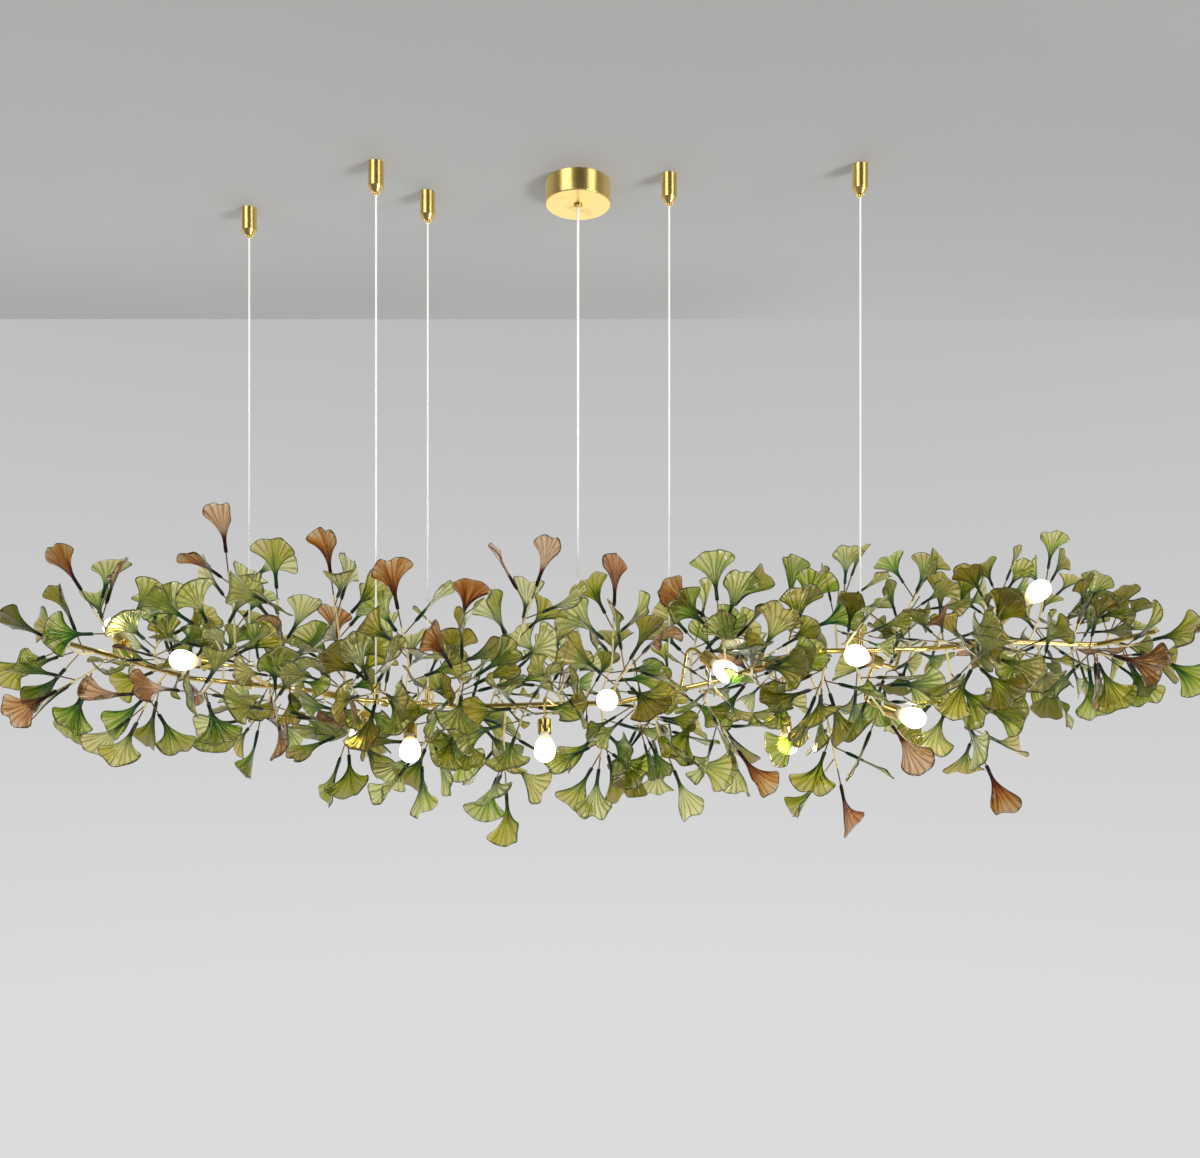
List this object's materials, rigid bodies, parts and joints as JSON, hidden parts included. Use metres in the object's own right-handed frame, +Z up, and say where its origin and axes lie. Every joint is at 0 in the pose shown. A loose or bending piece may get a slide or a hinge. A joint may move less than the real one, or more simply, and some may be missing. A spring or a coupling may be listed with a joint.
{
  "type": "glass leaf chandelier",
  "caption": "Long branch chandelier of bent brass tube and wire with green and amber glass fan leaves and capsule lamps, hung from the ceiling on adjustable wires.",
  "frame": {"origin": "on the ceiling plane at the centre of the canopy strap", "axes": "+X along the branch to the right as seen from the front, +Y to the back, +Z up"},
  "size_m": [1.8168, 0.4608, 0.9877],
  "materials": {
    "green_glass": "tinted, polished",
    "amber_glass": "tinted, polished",
    "brass_wire": "bright wire",
    "polished_brass": "polished",
    "satin_brass": "satin",
    "plated_steel": "zinc plated",
    "white_wire": "white coated",
    "white_cord": "white sheath",
    "white_insulator": "unglazed ceramic",
    "frosted_bulb": "frosted"
  },
  "bodies": {
    "ceiling": {"canopy_bracket": "plated_steel", "terminal_block": "white_insulator", "anchor_bosses": "plated_steel", "suspension_wire_1": "white_wire", "suspension_wire_2": "white_wire", "suspension_wire_3": "white_wire", "suspension_wire_4": "white_wire", "suspension_wire_5": "white_wire", "power_cord": "white_cord"},
    "cover": {"canopy_cover": "satin_brass", "canopy_screws": "plated_steel", "cord_grip": "polished_brass", "cord_grip_nut": "plated_steel"},
    "cap_1": {"anchor_cap_1": "satin_brass"},
    "clutch_1": {"wire_clutch_1": "polished_brass"},
    "cap_2": {"anchor_cap_2": "satin_brass"},
    "clutch_2": {"wire_clutch_2": "polished_brass"},
    "cap_3": {"anchor_cap_3": "satin_brass"},
    "clutch_3": {"wire_clutch_3": "polished_brass"},
    "cap_4": {"anchor_cap_4": "satin_brass"},
    "clutch_4": {"wire_clutch_4": "polished_brass"},
    "cap_5": {"anchor_cap_5": "satin_brass"},
    "clutch_5": {"wire_clutch_5": "polished_brass"},
    "branch": {"amber_leaves_far_left": "amber_glass", "amber_leaves_far_right": "amber_glass", "amber_leaves_left": "amber_glass", "amber_leaves_right": "amber_glass", "cord_hub": "polished_brass", "coupler_left": "polished_brass", "coupler_right": "polished_brass", "green_leaves_far_left": "green_glass", "green_leaves_far_right": "green_glass", "green_leaves_left": "green_glass", "green_leaves_right": "green_glass", "lamp_arms": "polished_brass", "lamp_cups": "polished_brass", "lamp_sockets": "white_insulator", "set_screws": "plated_steel", "trunk_end_plugs": "polished_brass", "trunk_left": "polished_brass", "trunk_middle": "polished_brass", "trunk_right": "polished_brass", "twigs_far_left": "brass_wire", "twigs_far_right": "brass_wire", "twigs_left": "brass_wire", "twigs_right": "brass_wire", "wire_hangers": "polished_brass"},
    "lamp_1": {"bulb_1": "frosted_bulb"},
    "lamp_2": {"bulb_2": "frosted_bulb"},
    "lamp_3": {"bulb_3": "frosted_bulb"},
    "lamp_4": {"bulb_4": "frosted_bulb"},
    "lamp_5": {"bulb_5": "frosted_bulb"},
    "lamp_6": {"bulb_6": "frosted_bulb"},
    "lamp_7": {"bulb_7": "frosted_bulb"},
    "lamp_8": {"bulb_8": "frosted_bulb"},
    "lamp_9": {"bulb_9": "frosted_bulb"},
    "lamp_10": {"bulb_10": "frosted_bulb"},
    "lamp_11": {"bulb_11": "frosted_bulb"}
  },
  "joints": [
    {"name": "height_adjust", "type": "slide", "parent": "ceiling", "child": "branch", "axis": [0, 0, 1], "range_m": [0, 0.2], "deforming": ["suspension_wire_1", "suspension_wire_2", "suspension_wire_3", "suspension_wire_4", "suspension_wire_5", "power_cord"]},
    {"name": "cover_drop", "type": "slide", "parent": "ceiling", "child": "cover", "axis": [0, 0, -1], "range_m": [0, 0.06]},
    {"name": "cap_turn_1", "type": "hinge", "parent": "ceiling", "child": "cap_1", "pos_m": [-0.52, 0.079, 0], "axis": [0, 0, 1], "continuous": true},
    {"name": "clutch_press_1", "type": "slide", "parent": "cap_1", "child": "clutch_1", "axis": [0, 0, 1], "range_m": [0, 0.003], "stiffness_N_per_m": 900, "springref_m": -0.003},
    {"name": "cap_turn_2", "type": "hinge", "parent": "ceiling", "child": "cap_2", "pos_m": [-0.29, -0.05973, 0], "axis": [0, 0, 1], "continuous": true},
    {"name": "clutch_press_2", "type": "slide", "parent": "cap_2", "child": "clutch_2", "axis": [0, 0, 1], "range_m": [0, 0.003], "stiffness_N_per_m": 900, "springref_m": -0.003},
    {"name": "cap_turn_3", "type": "hinge", "parent": "ceiling", "child": "cap_3", "pos_m": [-0.23, 0.02764, 0], "axis": [0, 0, 1], "continuous": true},
    {"name": "clutch_press_3", "type": "slide", "parent": "cap_3", "child": "clutch_3", "axis": [0, 0, 1], "range_m": [0, 0.003], "stiffness_N_per_m": 900, "springref_m": -0.003},
    {"name": "cap_turn_4", "type": "hinge", "parent": "ceiling", "child": "cap_4", "pos_m": [0.135, -0.026, 0], "axis": [0, 0, 1], "continuous": true},
    {"name": "clutch_press_4", "type": "slide", "parent": "cap_4", "child": "clutch_4", "axis": [0, 0, 1], "range_m": [0, 0.003], "stiffness_N_per_m": 900, "springref_m": -0.003},
    {"name": "cap_turn_5", "type": "hinge", "parent": "ceiling", "child": "cap_5", "pos_m": [0.41, -0.05294, 0], "axis": [0, 0, 1], "continuous": true},
    {"name": "clutch_press_5", "type": "slide", "parent": "cap_5", "child": "clutch_5", "axis": [0, 0, 1], "range_m": [0, 0.003], "stiffness_N_per_m": 900, "springref_m": -0.003},
    {"name": "bulb_pull_1", "type": "slide", "parent": "branch", "child": "lamp_1", "axis": [-0.8433, -0.527, 0.1054], "range_m": [0, 0.025]},
    {"name": "bulb_pull_2", "type": "slide", "parent": "branch", "child": "lamp_2", "axis": [0.0995, -0.597, -0.796], "range_m": [0, 0.025]},
    {"name": "bulb_pull_3", "type": "slide", "parent": "branch", "child": "lamp_3", "axis": [0.0201, -0.3011, -0.9534], "range_m": [0, 0.025]},
    {"name": "bulb_pull_4", "type": "slide", "parent": "branch", "child": "lamp_4", "axis": [0.0497, -0.9938, 0.0994], "range_m": [0, 0.025]},
    {"name": "bulb_pull_5", "type": "slide", "parent": "branch", "child": "lamp_5", "axis": [0.6092, -0.6092, -0.5077], "range_m": [0, 0.025]},
    {"name": "bulb_pull_6", "type": "slide", "parent": "branch", "child": "lamp_6", "axis": [-0.8296, -0.5185, 0.2074], "range_m": [0, 0.025]},
    {"name": "bulb_pull_7", "type": "slide", "parent": "branch", "child": "lamp_7", "axis": [0.7454, -0.5963, -0.2981], "range_m": [0, 0.025]},
    {"name": "bulb_pull_8", "type": "slide", "parent": "branch", "child": "lamp_8", "axis": [0.5077, -0.6092, 0.6092], "range_m": [0, 0.025]},
    {"name": "bulb_pull_9", "type": "slide", "parent": "branch", "child": "lamp_9", "axis": [-0.6092, 0.5077, 0.6092], "range_m": [0, 0.025]},
    {"name": "bulb_pull_10", "type": "slide", "parent": "branch", "child": "lamp_10", "axis": [-0.3004, 0.6007, -0.7409], "range_m": [0, 0.025]},
    {"name": "bulb_pull_11", "type": "slide", "parent": "branch", "child": "lamp_11", "axis": [0.199, 0.398, -0.8955], "range_m": [0, 0.025]}
  ]
}
